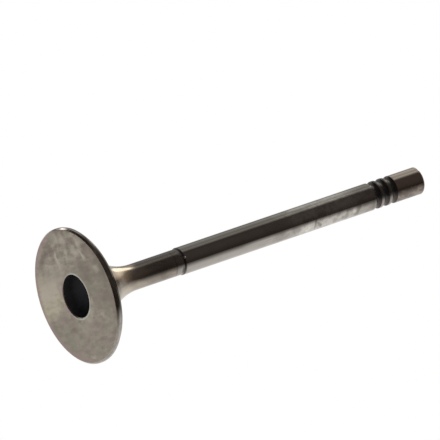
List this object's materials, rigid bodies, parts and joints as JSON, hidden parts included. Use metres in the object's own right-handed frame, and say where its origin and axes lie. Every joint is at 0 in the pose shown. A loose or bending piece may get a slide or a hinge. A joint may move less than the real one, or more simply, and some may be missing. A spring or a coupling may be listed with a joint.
{
  "type": "engine exhaust valve",
  "caption": "Poppet valve turned from one piece: a round head with a blind pocket in its flat face, a swept neck, a ground guide stem, keeper grooves and a plain tip.",
  "frame": {"origin": "centre of the flat combustion face, on which the valve stands", "axes": "+Z along the stem axis, from the combustion face to the stem tip; the valve is the same all round, so X and Y are free"},
  "size_m": [0.0348, 0.0348, 0.1053],
  "materials": {
    "steel": "ground stem, turned and lightly heat-stained head"
  },
  "bodies": {
    "root": {"valve": "steel"}
  },
  "joints": []
}
